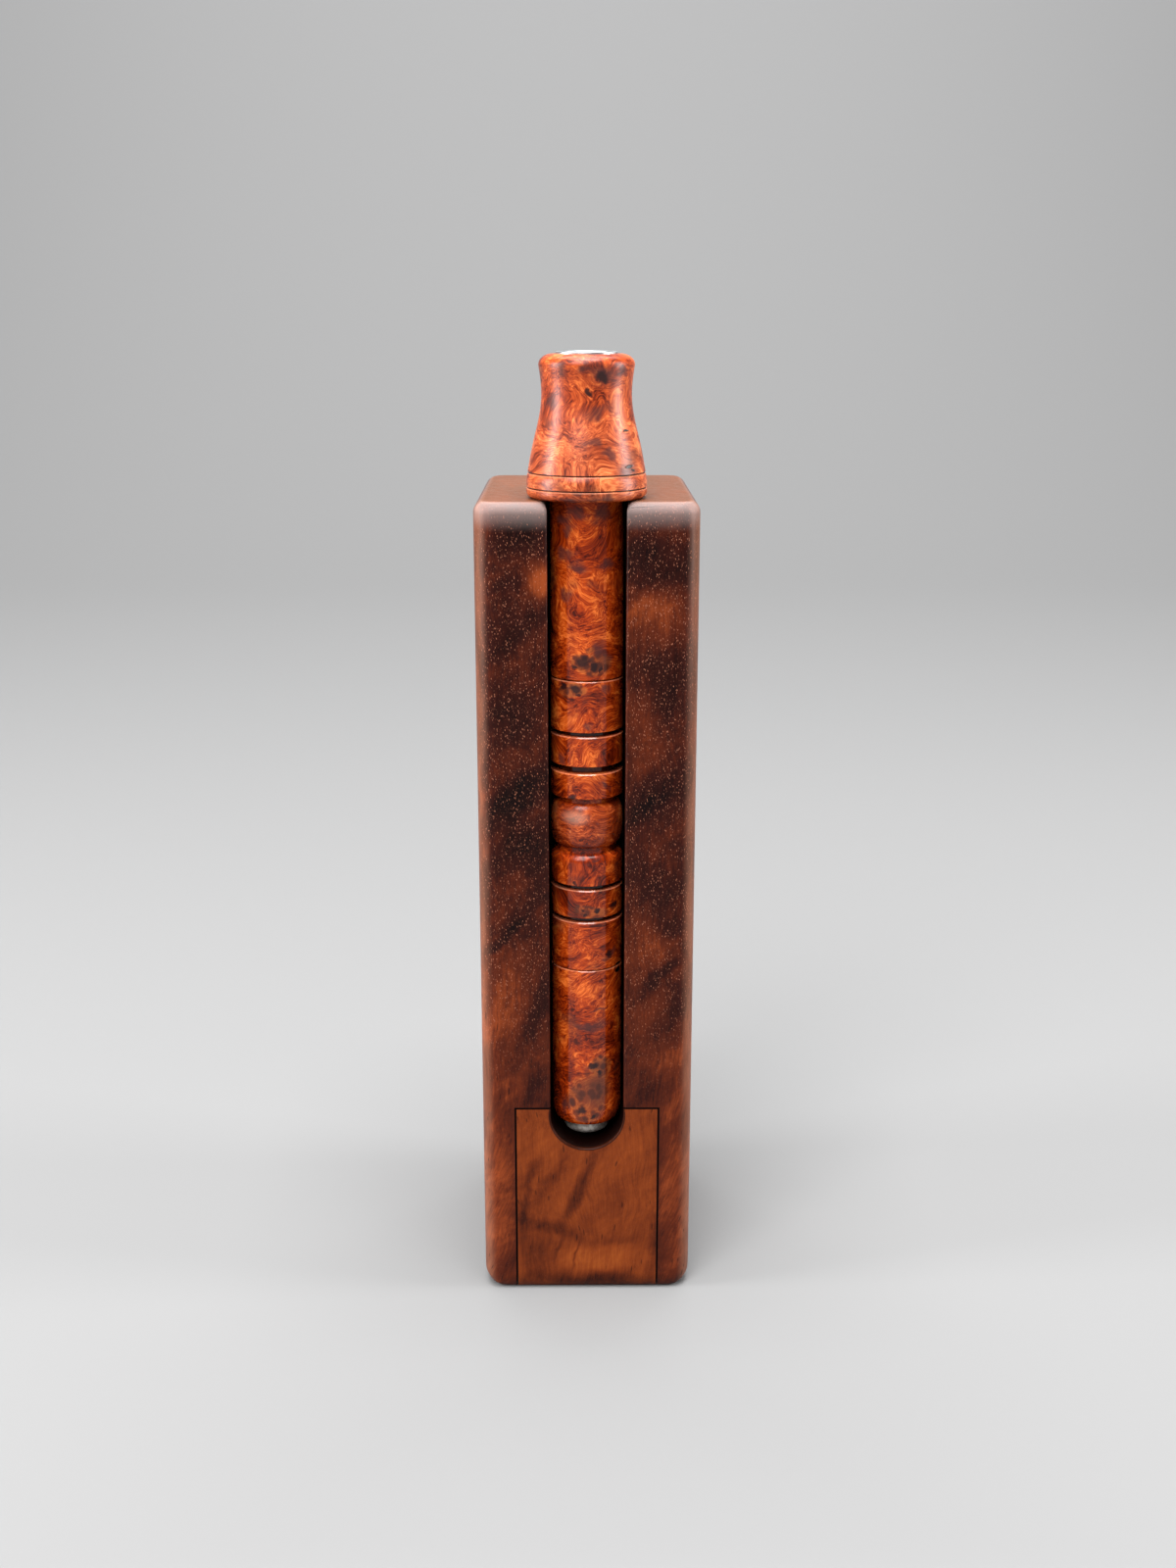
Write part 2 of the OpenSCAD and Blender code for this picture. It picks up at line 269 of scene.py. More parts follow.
def warped(tree, vector, scale, amount, detail=2.0):
    """The coordinates pushed about by soft noise, by up to about half that amount."""
    colour = noise(tree, vector, scale, detail, out="Color")
    centred = put(tree, "ShaderNodeVectorMath", operation="SUBTRACT")
    centred.inputs[1].default_value = (0.5, 0.5, 0.5)
    tree.links.new(colour, centred.inputs[0])
    sized = put(tree, "ShaderNodeVectorMath", operation="SCALE")
    sized.inputs["Scale"].default_value = amount
    tree.links.new(centred.outputs[0], sized.inputs[0])
    added = put(tree, "ShaderNodeVectorMath", operation="ADD")
    tree.links.new(vector, added.inputs[0])
    tree.links.new(sized.outputs[0], added.inputs[1])
    return added.outputs[0]


def ramp(tree, value, stops):
    """A colour ramp; stops are (place, colour)."""
    node = put(tree, "ShaderNodeValToRGB")
    elements = node.color_ramp.elements
    while len(elements) < len(stops):
        elements.new(0.5)
    for element, (place, colour) in zip(elements, stops):
        element.position = place
        element.color = (*colour, 1.0)
    tree.links.new(value, node.inputs[0])
    return node.outputs[0]


def span(tree, value, low, high, to_low=0.0, to_high=1.0):
    """A smooth step from one value to another as the input goes from low to high."""
    node = put(tree, "ShaderNodeMapRange",
               {"From Min": low, "From Max": high, "To Min": to_low, "To Max": to_high},
               interpolation_type="SMOOTHSTEP")
    tree.links.new(value, node.inputs["Value"])
    return node.outputs[0]


def mixed(tree, amount, first, second):
    """Two colours mixed; each is a socket or an (r, g, b)."""
    node = put(tree, "ShaderNodeMix", data_type="RGBA")
    colour_sockets = node.inputs[6:8]
    for socket, term in zip(colour_sockets, (first, second)):
        if isinstance(term, tuple):
            socket.default_value = (*term, 1.0)
        else:
            tree.links.new(term, socket)
    tree.links.new(amount, node.inputs[0])
    return node.outputs[2]


def layered(tree, tone, layers):
    """A tone lightened and darkened by layers of noise, each (noise, amount)."""
    for layer, amount in layers:
        centred = math_node(tree, "SUBTRACT", layer, 0.5)
        tone = math_node(tree, "MULTIPLY_ADD", centred, amount, tone)
    return tone


def bumped(tree, shader, height, distance, strength):
    """Relief of that height on the shader's surface."""
    node = put(tree, "ShaderNodeBump", {"Distance": distance, "Strength": strength})
    tree.links.new(height, node.inputs["Height"])
    tree.links.new(node.outputs[0], shader.inputs["Normal"])


def blob(tree, vector, centre, radii, tilt=0.0):
    """Distance from an ellipsoid's middle: 1 on its surface. tilt lifts its right end."""
    node = put(tree, "ShaderNodeMapping",
               {"Location": centre, "Rotation": (0, -math.radians(tilt), 0), "Scale": radii},
               vector_type="TEXTURE")
    tree.links.new(vector, node.inputs["Vector"])
    length = put(tree, "ShaderNodeVectorMath", operation="LENGTH")
    tree.links.new(node.outputs[0], length.inputs[0])
    return length.outputs["Value"]


def within(tree, vector, middle, half, edge):
    """1 inside a box given by its middle and half sizes, fading to 0 over its edge."""
    inside = None
    split = put(tree, "ShaderNodeSeparateXYZ")
    tree.links.new(vector, split.inputs[0])
    for axis in range(3):
        offset = math_node(tree, "SUBTRACT", split.outputs[axis], middle[axis])
        offset = math_node(tree, "ABSOLUTE", offset)
        near = span(tree, offset, half[axis], half[axis] - edge)
        inside = near if inside is None else math_node(tree, "MULTIPLY", inside, near)
    return inside


def clouds(tree, vector, patches, tone):
    """Adds soft patches near the front: (x, z, width, height, tilt, amount) in mm and degrees."""
    reach = 30*MM
    for x, z, wide, high, tilt, amount in patches:
        away = blob(tree, vector, (x*MM, case_low.y, z*MM), (wide*MM, reach, high*MM), tilt)
        tone = math_node(tree, "ADD", tone, span(tree, away, 1.5, 0.15, 0.0, amount))
    return tone


def scattered(tree, vector, reach, kept):
    """Marks round scattered points, of which only that share is kept: 1 in a mark."""
    evenness = 0.85
    node = put(tree, "ShaderNodeTexVoronoi", {"Scale": 1.0, "Randomness": evenness})
    tree.links.new(vector, node.inputs["Vector"])
    split = put(tree, "ShaderNodeSeparateColor")
    tree.links.new(node.outputs["Color"], split.inputs[0])
    mark = span(tree, node.outputs["Distance"], reach, reach*0.5)
    chosen = span(tree, split.outputs[0], 1.0 - kept, 1.15 - kept)
    return math_node(tree, "MULTIPLY", mark, chosen)


def leaning(tree, vector, slope, top):
    """The coordinates sheared, so that upright grain leans to the right below top."""
    blend = 20*MM
    split = put(tree, "ShaderNodeSeparateXYZ")
    tree.links.new(vector, split.inputs[0])
    joined = put(tree, "ShaderNodeCombineXYZ")
    height = math_node(tree, "SMOOTH_MIN", split.outputs[2], top, blend)
    moved = math_node(tree, "MULTIPLY_ADD", height, -slope, split.outputs[0])
    tree.links.new(moved, joined.inputs[0])
    tree.links.new(split.outputs[1], joined.inputs[1])
    tree.links.new(split.outputs[2], joined.inputs[2])
    return joined.outputs[0]


def walnut(name, tones, shift, lean, joint_dirt_and_shade, patches):
    """Satin walnut: slanting figure, leaning fibres, pale pore ticks painted as glints, and dark
    slits.

    tones run from dark to pale, shift moves the grain, lean is its slope, and
    the joint argument marks the dirt round the drawer's joint and the painted shade inside its
    gap.
    """
    material, tree, shader = new_material(name)
    true_place = put(tree, "ShaderNodeTexCoord").outputs["Object"]
    split = put(tree, "ShaderNodeSeparateXYZ")
    tree.links.new(true_place, split.inputs[0])
    aside, deep, height = split.outputs
    place = stretched(tree, true_place, (1, 1, 1), shift=shift)
    straight_from = 52*MM
    loose = warped(tree, leaning(tree, place, lean, straight_from), 60.0, 0.006)
    # slanting figure, rising to the right across the front
    figure = noise(tree, stretched(tree, warped(tree, place, 60.0, 0.006), (60, 34, 210),
                                   turn=(0, math.radians(38), 0)), detail=4.0, roughness=0.6)
    # streaks along the grain, and growth rings that show on the top and the sides
    flames = noise(tree, stretched(tree, loose, (640, 640, 70)), detail=4.0, roughness=0.6)
    rings = noise(tree, stretched(tree, loose, (45, 1300, 32)), detail=3.0, roughness=0.6)
    fibres = noise(tree, stretched(tree, loose, (3300, 3300, 230)), detail=3.0, roughness=0.6)
    mottle = noise(tree, loose, 900.0, detail=3.0, roughness=0.6)
    tone = math_node(tree, "MULTIPLY_ADD", math_node(tree, "SUBTRACT", figure, 0.5), 0.56, 0.5)
    tone = layered(tree, tone, [(flames, 0.26), (rings, 0.22), (fibres, 0.34), (mottle, 0.16)])
    tone = clouds(tree, warped(tree, true_place, 150.0, 0.005, detail=3.0), patches, tone)
    # the wood darkens a little going up
    upper = span(tree, height, 36*MM, 62*MM)
    tone = math_node(tree, "MULTIPLY_ADD", upper, -0.055, tone)
    colour = ramp(tree, tone, list(zip((0.16, 0.40, 0.62, 0.86), tones)))
    # painted highlight: the two upright front edges are painted paler, standing in for the side
    # lamps' light on their rounding
    edge_highlight_wood = (0.44, 0.190, 0.110)
    retinted = math_node(tree, "MULTIPLY",
                     span(tree, math_node(tree, "ABSOLUTE", aside), 13.9*MM, 15.6*MM),
                     span(tree, deep, case_low.y + 6*MM, case_low.y + 2*MM))
    retinted = math_node(tree, "MULTIPLY", retinted, span(tree, flames, 0.3, 0.7, 0.18, 0.36))
    colour = mixed(tree, retinted, colour, edge_highlight_wood)
    # pores: short pale ticks and dots in the upper wood, painted glints of light in the pores, and
    # dark slits lower down
    pore_glint = (0.42, 0.150, 0.085)
    dark_pore = (0.012, 0.003, 0.002)
    ticked = stretched(tree, warped(tree, place, 300.0, 0.0003), (7400, 7400, 2700),
                       turn=(math.radians(3), math.radians(7), math.radians(31)))
    dotted = stretched(tree, place, (8800, 8800, 5400),
                       turn=(math.radians(4), math.radians(7), math.radians(52)),
                       shift=(0.2, 0.3, 0.1))
    dots = math_node(tree, "MULTIPLY", scattered(tree, dotted, 0.40, 0.18), 0.5)
    ticks = math_node(tree, "MAXIMUM", scattered(tree, ticked, 0.45, 0.23), dots)
    ticks = math_node(tree, "MULTIPLY", ticks, span(tree, height, 30*MM, 54*MM, 0.10, 1.0))
    colour = mixed(tree, math_node(tree, "MULTIPLY", ticks, 0.74), colour, pore_glint)
    slit_place = stretched(tree, loose, (1500, 1500, 260), shift=(0.3, 0.1, 0.2))
    slits = math_node(tree, "MULTIPLY", scattered(tree, slit_place, 0.22, 0.50),
                      span(tree, upper, 0.0, 1.0, 0.62, 0.30))
    colour = mixed(tree, slits, colour, dark_pore)
    # painted light: the top face is painted paler as a sheen, and a grey painted highlight runs
    # along the crown's front edge
    top_sheen_wood = (0.45, 0.19, 0.09)
    crown_highlight_grey = (0.48, 0.37, 0.345)
    top_sheen = span(tree, height, case_h - 0.5*MM, case_h - 0.1*MM, 0.0, 0.22)
    colour = mixed(tree, top_sheen, colour, top_sheen_wood)
    crown_highlight = span(tree, height, case_h - 4.4*MM, case_h - 0.7*MM)
    crown_highlight = math_node(tree, "MULTIPLY", crown_highlight, span(tree, height, case_h, case_h - 0.25*MM))
    crown_highlight = math_node(tree, "MULTIPLY", crown_highlight,
                      span(tree, deep, case_low.y + 3*MM, case_low.y + 1.5*MM, 0.12, 0.36))
    colour = mixed(tree, crown_highlight, colour, crown_highlight_grey)
    # painted shade: the groove's walls are painted near black; dirt lies in the drawer's joint,
    # with painted shade inside its gap
    groove_shade_black = (0.0055, 0.0012, 0.0008)
    groove_shade_front = case_low.y + 0.45*MM
    groove_shade_back = groove_back + 0.3*MM
    groove_shade_foot = notch_z - groove_half - 0.2*MM
    groove_shade_up = 0.5
    groove_shade = within(tree, true_place,
                   (0, (groove_shade_front + groove_shade_back)/2, groove_shade_foot + groove_shade_up),
                   (groove_half + 0.25*MM, (groove_shade_back - groove_shade_front)/2, groove_shade_up), 0.15*MM)
    dark = math_node(tree, "MAXIMUM", groove_shade, joint_dirt_and_shade(tree, true_place))
    colour = mixed(tree, dark, colour, groove_shade_black)
    tree.links.new(colour, shader.inputs["Base Color"])
    tree.links.new(span(tree, flames, 0.3, 0.7, 0.33, 0.44), shader.inputs["Roughness"])
    relief = math_node(tree, "MULTIPLY_ADD", ticks, -0.8, math_node(tree, "MULTIPLY", fibres, 0.6))
    relief = math_node(tree, "SUBTRACT", relief, slits)
    bumped(tree, shader, relief, 0.00006, 0.45)
    shader.inputs["Specular IOR Level"].default_value = 0.10
    return material


# dirt in the drawer's joint, with painted shade on the walls of its gap
dirt_and_shade_y = case_low.y + 0.25*MM
dirt_and_shade_depth = 0.35*MM
dirt_and_shade_edge = 0.04*MM


def bay_dirt_and_shade(tree, place):
    """1 on the thin dirty edge round the drawer's opening, and as painted shade on the walls of
    the gap.
    """
    dirt_w = 0.10*MM
    return within(tree, place, (0, dirt_and_shade_y, 0),
                  (bay_half + dirt_w, dirt_and_shade_depth, bay_top + dirt_w), dirt_and_shade_edge)


case_walnut = walnut(
    "walnut_case",
    tones=((0.0045, 0.0012, 0.0011), (0.025, 0.0042, 0.0025), (0.082, 0.0135, 0.0043),
           (0.240, 0.0450, 0.0105)),
    shift=(0.013, 0.04, 0.02), lean=0.34, joint_dirt_and_shade=bay_dirt_and_shade, patches=[
     (-8.0, 119.0, 4.5, 3.0, 0, -0.16), (-6.0, 112.0, 2.9, 3.2, 10, 0.44),
     (-12.5, 110.0, 3.0, 5.0, 0, -0.04), (-10.5, 103.5, 6.5, 1.6, 38, -0.17),
     (-12.0, 93.0, 4.0, 6.0, 30, -0.10), (-10.0, 80.0, 7.0, 2.2, 42, -0.24),
     (-8.0, 71.0, 3.0, 7.0, 20, -0.16), (-9.5, 92.0, 5.0, 5.0, 0, -0.08),
     (-12.0, 59.0, 5.5, 0.9, 48, -0.22),
     (-12.5, 47.0, 4.5, 13.0, 0, 0.17), (-7.6, 47.0, 1.6, 9.0, -20, -0.18),
     (-8.0, 35.0, 2.0, 4.0, -24, -0.16), (-13.5, 17.0, 3.0, 17.0, 0, 0.20),
     # the next two long pale strips on the upright outer edges are painted highlights
     (-15.9, 75.0, 0.9, 55.0, 0, 0.17), (15.9, 75.0, 0.8, 55.0, 0, 0.10),
     (9.5, 114.5, 5.5, 3.6, -8, -0.18), (9.0, 107.0, 5.6, 3.8, 5, 0.30),
     (12.5, 97.0, 3.6, 6.0, 25, -0.14), (7.8, 88.5, 3.4, 5.0, 20, 0.20),
     (11.0, 80.5, 7.0, 2.2, 40, -0.18), (7.5, 69.0, 3.0, 5.0, 30, -0.10),
     (12.0, 63.0, 3.5, 5.5, 30, -0.08), (10.5, 52.0, 7.0, 1.2, 50, -0.16),
     (8.5, 58.0, 3.0, 3.5, 30, 0.14), (12.0, 42.0, 4.5, 9.0, 30, 0.16),
     (12.5, 45.0, 2.4, 6.0, -30, -0.18), (-14.5, 30.0, 0.7, 5.0, -24, -0.14),
     (13.5, 16.0, 3.0, 16.0, 0, 0.21)])
case = solid(block_mesh)
cut(case, solid(groove_mesh))
cut(case, solid(box_mesh, (-bay_half, case_low.y - over, -over),
                (bay_half, case_high.y - back_wall, bay_top)))
ease_edges(case, on_groove, width=0.35*MM, steps=4)
finish_piece(case, "walnut_block", case_walnut, "case", ["case_body"])

# ---------------------------------------------------------------- Drawer
# A second piece of walnut, a little warmer, sawn so that its grain runs
# aslant. It carries the groove's round end and is hollowed for small things.


def drawer_dirt_and_shade(tree, place):
    """1 on the thin dirty edge of the drawer's own front, and as painted shade on the walls of its
    gap and in and round its notch.
    """
    dirt_w = 0.08*MM
    notch_shade_r = groove_half + 0.32*MM
    everywhere = 1.0
    clean = within(tree, place, (0, 0, 0),
                   (drawer_high.x - dirt_w, everywhere, drawer_high.z - dirt_w), dirt_and_shade_edge)
    rim = math_node(tree, "SUBTRACT", 1.0, clean)
    front = within(tree, place, (0, dirt_and_shade_y, 0), (everywhere, dirt_and_shade_depth, everywhere), dirt_and_shade_edge)
    # painted shade in and round the groove's end in the drawer
    notch_shade = blob(tree, place, (0, 0, notch_z), (notch_shade_r, everywhere, notch_shade_r))
    notch_shade = span(tree, notch_shade, 1.0, 0.98, 0.0, 0.85)
    return math_node(tree, "MULTIPLY", front, math_node(tree, "MAXIMUM", notch_shade, rim))


drawer_walnut = walnut(
    "walnut_drawer",
    tones=((0.034, 0.0058, 0.0022), (0.118, 0.0205, 0.0042), (0.208, 0.0400, 0.0070),
           (0.340, 0.0800, 0.0130)),
    shift=(0.05, 0.01, 0.11), lean=0.52, joint_dirt_and_shade=drawer_dirt_and_shade, patches=[
     (-1.9, 16.5, 1.2, 8.0, -20, -0.28), (0.8, 20.5, 1.0, 5.0, -22, -0.18),
     (-5.2, 20.0, 0.8, 4.5, -28, -0.18), (-8.3, 19.5, 1.2, 3.4, -28, -0.20),
     (-9.8, 13.0, 0.9, 6.0, -10, -0.20), (-6.0, 10.4, 5.5, 1.3, -14, -0.20),
     (-8.0, 5.2, 3.0, 5.0, 0, -0.18), (-1.9, 6.3, 0.25, 2.2, -8, -0.28),
     (3.5, 8.6, 6.0, 1.2, 0, -0.08),
     (-4.6, 6.6, 0.25, 2.0, -14, -0.18), (3.8, 4.9, 6.5, 3.0, 0, 0.15),
     (2.0, 1.4, 9.0, 1.6, -6, -0.30), (9.9, 6.0, 1.0, 7.5, 0, -0.22),
     (-5.8, 25.0, 3.0, 4.0, 0, 0.10), (7.5, 22.0, 2.6, 5.0, 0, 0.06),
     (4.5, 14.5, 3.0, 3.0, 0, -0.06)])
well_wall = 3.4*MM
well_floor = 3*MM
well_front = groove_back + well_wall
drawer = solid(block_mesh)
cut(drawer, solid(box_mesh, (drawer_low.x, case_low.y - over, -over), drawer_high), "INTERSECT")
cut(drawer, solid(groove_mesh))
cut(drawer, solid(box_mesh, (drawer_low.x + well_wall, well_front, well_floor),
                  (drawer_high.x - well_wall, drawer_high.y - well_wall, drawer_high.z + over)))
ease_edges(drawer, on_groove, width=0.2*MM, steps=4)
finish_piece(drawer, "walnut_drawer_block", drawer_walnut, "drawer", ["drawer"])

# ---------------------------------------------------------------- Head section
# Orange-red burl with swirling fibres and dark eyes, polished to a gloss. It is
# turned in one with its shaft: a flared foot that hangs on the crown, with two
# lines scribed round it, then a waist and a rounded lip.

TURN_STEPS = 128
CORNER_STEPS = 6


def turned_mesh(bm, outline, rounds):
    """Spins an outline of (radius, height) points about the stem's axis.

    rounds maps a point's number to the radius that its corner is turned to.
    """
    verts = [bm.verts.new((r, 0, z)) for r, z in outline]
    for first, second in zip(verts, verts[1:]):
        bm.edges.new((first, second))
    for index, radius in rounds.items():
        bmesh.ops.bevel(bm, geom=[verts[index]], offset=radius, segments=CORNER_STEPS, profile=0.5,
                        affect="VERTICES", material=-1)
    bmesh.ops.spin(bm, geom=bm.verts[:] + bm.edges[:], cent=(0, 0, 0), axis=(0, 0, 1),
                   angle=2*math.pi, steps=TURN_STEPS, use_merge=True)
    bmesh.ops.remove_doubles(bm, verts=bm.verts[:], dist=weld)
    bmesh.ops.translate(bm, vec=(0, stem_y, 0), verts=bm.verts[:])
    bmesh.ops.recalc_face_normals(bm, faces=bm.faces[:])


head_low, head_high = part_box("head_section")
liner_low, liner_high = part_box("mouth_liner")
head_r = (head_high.x - head_low.x)/2
liner_r = (liner_high.x - liner_low.x)/2
rim_z = head_high.z
seat_gap = 0.05*MM
seat_z = case_h + seat_gap
seat_round = 0.9*MM
scribe_w = 0.3*MM
low_line_z = seat_z + 1.3*MM
high_line_z = seat_z + 3.4*MM
high_line_r = 8.37*MM
band_z = seat_z + 2.5*MM
flare_h = 11.8*MM
flare_draw = 2.7*MM
waist_z = band_z + flare_h
waist_r = 6.35*MM
lip_z = waist_z + 4*MM
lip_r = 6.75*MM
lip_flat = 0.4*MM
lip_round = lip_r - liner_r - lip_flat
socket_r = 3.04*MM
socket_h = 14*MM
bore_r = 1.7*MM
joint_ease = 0.2*MM


def nearest(tree, vector, marks):
    """Distance to the nearest spot: (x, z, width, height, tilt) in mm and degrees."""
    closest = None
    for x, z, wide, high, tilt in marks:
        surface = stem_y - math.sqrt(max(turned_r(z)**2 - (x*MM)**2, 0))
        deep = 1.2*max(wide, high)
        away = blob(tree, vector, (x*MM, surface, z*MM), (wide*MM, deep*MM, high*MM), tilt)
        closest = away if closest is None else math_node(tree, "MINIMUM", closest, away)
    return closest


def turned_r(z):
    """About how far the burl's surface stands from the axis at that height in mm."""
    if z*MM < case_h:
        return stem_r
    up_the_flare = (z*MM - band_z)/flare_h
    return head_r + (waist_r - head_r)*min(max(up_the_flare, 0), 1)


def spots(tree, vector):
    """Distance to the nearest of many scattered points."""
    node = put(tree, "ShaderNodeTexVoronoi", {"Scale": 1.0})
    tree.links.new(vector, node.inputs["Vector"])
    return node.outputs["Distance"]


def lifted(tree, vector, rise):
    """The coordinates moved up or down by a varying amount."""
    joined = put(tree, "ShaderNodeCombineXYZ")
    tree.links.new(rise, joined.inputs[2])
    added = put(tree, "ShaderNodeVectorMath", operation="ADD")
    tree.links.new(vector, added.inputs[0])
    tree.links.new(joined.outputs[0], added.inputs[1])
    return added.outputs[0]


def burl(name, eyes, clusters, smokes, cracks, cuts, crowding, flow=0.0115, slant=0,
         bead=(0, 0)):
    """Polished burl: fibres that swirl round dark eyes, smoky patches and open cracks.

    clusters and crowding say where and how often small brown eyes stand close.
    flow is how far the fibres wander, slant their angle in degrees, and bead
    the heights between which the wood is painted paler, as lit, and is duller.
    """
    material, tree, shader = new_material(name)
    true_place = put(tree, "ShaderNodeTexCoord").outputs["Object"]
    split = put(tree, "ShaderNodeSeparateXYZ")
    tree.links.new(true_place, split.inputs[0])
    height = split.outputs[2]
    place = stretched(tree, true_place, (1, 1, 1), shift=(0.0, 0.02, 0.31))
    near_eye = nearest(tree, warped(tree, true_place, 1000.0, 0.0015, detail=3.0), eyes)
    near_smoke = nearest(tree, warped(tree, true_place, 380.0, 0.0034, detail=3.0), smokes)
    near_crack = nearest(tree, warped(tree, true_place, 1500.0, 0.0004), cracks)
    near_cluster = nearest(tree, warped(tree, true_place, 300.0, 0.0022), clusters)
    # small brown eyes in clusters, each ringed with paler wood
    celled = stretched(tree, warped(tree, place, 480.0, 0.0009), (820, 820, 700))
    cell = spots(tree, celled)
    crowd = noise(tree, place, 120.0, detail=1.0)
    crowded = math_node(tree, "MAXIMUM", span(tree, crowd, 0.74 - crowding, 0.84 - crowding),
                        span(tree, near_cluster, 1.15, 0.75))
    small_eye = math_node(tree, "MULTIPLY", span(tree, cell, 0.50, 0.26), crowded)
    pale_ring = math_node(tree, "MULTIPLY", span(tree, cell, 0.42, 0.60), crowded)
    # fibres that flow with the swirl and part round the eyes
    bulge = span(tree, near_eye, 3.6, 0.6, 0.0, 0.0008)
    swirl = warped(tree, warped(tree, lifted(tree, place, bulge), 120.0, flow, detail=1.0),
                   500.0, 0.0023, detail=1.0)
    swirl = stretched(tree, swirl, (1, 1, 1), turn=(0, math.radians(slant), 0))
    fibres = noise(tree, stretched(tree, swirl, (560, 560, 4600)), detail=2.0, roughness=0.6)
    bands = noise(tree, stretched(tree, swirl, (330, 330, 1500)), detail=2.0)
    fleck = noise(tree, stretched(tree, swirl, (1800, 1800, 3300)), detail=3.0, roughness=0.65)
    cloud = noise(tree, swirl, 235.0, detail=4.0, roughness=0.62)
    tone = math_node(tree, "ADD", math_node(tree, "MULTIPLY", pale_ring, 0.26), 0.5)
    tone = layered(tree, tone, [(cloud, 1.15), (bands, 0.34), (fibres, 0.66), (fleck, 0.78)])
    halo = math_node(tree, "MULTIPLY", span(tree, near_eye, 2.0, 1.3),
                     span(tree, near_eye, 1.0, 1.3))
    tone = math_node(tree, "MULTIPLY_ADD", halo, 0.10, tone)
    # darker towards the stem's end
    tone = math_node(tree, "ADD", tone, span(tree, height, 39*MM, 31*MM, 0.0, -0.125))
    places = (0.22, 0.40, 0.58, 0.80)
    red = ramp(tree, tone, list(zip(places, (
        (0.050, 0.0042, 0.0010), (0.180, 0.0145, 0.0016), (0.390, 0.0440, 0.0036),
        (0.720, 0.1500, 0.0220)))))
    lit_tones = ramp(tree, tone, list(zip(places, (
        (0.080, 0.0084, 0.0022), (0.260, 0.0370, 0.0095), (0.480, 0.0980, 0.0285),
        (0.790, 0.2350, 0.0790)))))
    # painted light: the head above the crown and the bead take a paler, lit copy of the tones,
    # less of it towards the head's lip
    head_part = span(tree, height, case_h - 0.3*MM, case_h + 0.8*MM)
    lit_share = math_node(tree, "MULTIPLY", head_part,
                        span(tree, height, 130.5*MM, 137.5*MM, 1.0, 0.35))
    bead_part = math_node(tree, "MULTIPLY", span(tree, height, bead[0], bead[0] + 1.6*MM),
                          span(tree, height, bead[1], bead[1] - 0.8*MM))
    lit_share = math_node(tree, "MULTIPLY_ADD", bead_part, 0.44, lit_share)
    colour = mixed(tree, lit_share, red, lit_tones)
    # smoke and soot in the wood, then the eyes
    smoke_brown = (0.060, 0.018, 0.016)
    soot_brown = (0.070, 0.016, 0.010)
    crowd_brown = (0.118, 0.028, 0.010)
    eye_brown = (0.058, 0.014, 0.008)
    pupil_brown = (0.018, 0.006, 0.006)
    colour = mixed(tree, span(tree, near_smoke, 1.45, 0.35, 0.0, 0.78), colour, smoke_brown)
    soot = span(tree, noise(tree, place, 210.0), 0.58, 0.72, 0.0, 0.55)
    colour = mixed(tree, soot, colour, soot_brown)
    colour = mixed(tree, math_node(tree, "MULTIPLY", crowded, 0.66), colour, crowd_brown)
    colour = mixed(tree, math_node(tree, "MULTIPLY", small_eye, 0.82), colour, eye_brown)
    pupil = span(tree, near_eye, 1.25, 0.55, 0.0, 0.93)
    colour = mixed(tree, pupil, colour, pupil_brown)
    # a painted highlight on the bead's upper left, and the open cracks
    bead_highlight_paint = (0.62, 0.36, 0.26)
    crack_black = (0.004, 0.002, 0.002)
    bead_highlight = blob(tree, true_place, (-1.7*MM, stem_y - stem_r, bead[1] - 1.9*MM),
                 (2.3*MM, 6*MM, 1.3*MM))
    bead_highlight = math_node(tree, "MULTIPLY", span(tree, bead_highlight, 1.2, 0.2, 0.0, 0.34), bead_part)
    colour = mixed(tree, bead_highlight, colour, bead_highlight_paint)
    gap = span(tree, near_crack, 1.1, 0.7)
    colour = mixed(tree, gap, colour, crack_black)
    # painted shade fills the cuts and the joint lines are dark, and a painted highlight runs along
    # their lower lips
    cut_shade_and_joint_black = (0.006, 0.002, 0.0015)
    lip_highlight = (0.66, 0.27, 0.15)
    for low, high in cuts:
        inside = math_node(tree, "MULTIPLY", span(tree, height, low, low + 0.05*MM),
                           span(tree, height, high, high - 0.05*MM))
        colour = mixed(tree, math_node(tree, "MULTIPLY", inside, 0.9), colour, cut_shade_and_joint_black)
        lip_highlight_share = math_node(tree, "MULTIPLY",
                           span(tree, height, low - 0.18*MM, low - 0.11*MM),
                           span(tree, height, low + 0.03*MM, low - 0.03*MM))
        colour = mixed(tree, math_node(tree, "MULTIPLY", lip_highlight_share, 0.34), colour, lip_highlight)
    tree.links.new(colour, shader.inputs["Base Color"])
    # duller on the head, and on the bead and its lower neck
    rough = math_node(tree, "ADD", span(tree, fleck, 0.3, 0.7, 0.14, 0.10),
                      math_node(tree, "MULTIPLY", head_part, 0.22))
    dull = math_node(tree, "MULTIPLY", span(tree, height, bead[0] - 3*MM, bead[0] - 2*MM),
                     span(tree, height, bead[1] + 0.5*MM, bead[1]))
    rough = math_node(tree, "MULTIPLY_ADD", dull, 0.14, rough)
    tree.links.new(rough, shader.inputs["Roughness"])
    relief = math_node(tree, "MULTIPLY", fibres, 0.4)
    relief = math_node(tree, "MULTIPLY_ADD", pupil, -0.8, relief)
    relief = math_node(tree, "MULTIPLY_ADD", gap, -6.0, relief)
    bumped(tree, shader, relief, 0.00003, 0.35)
    shader.inputs["Specular IOR Level"].default_value = 0.31
    return material


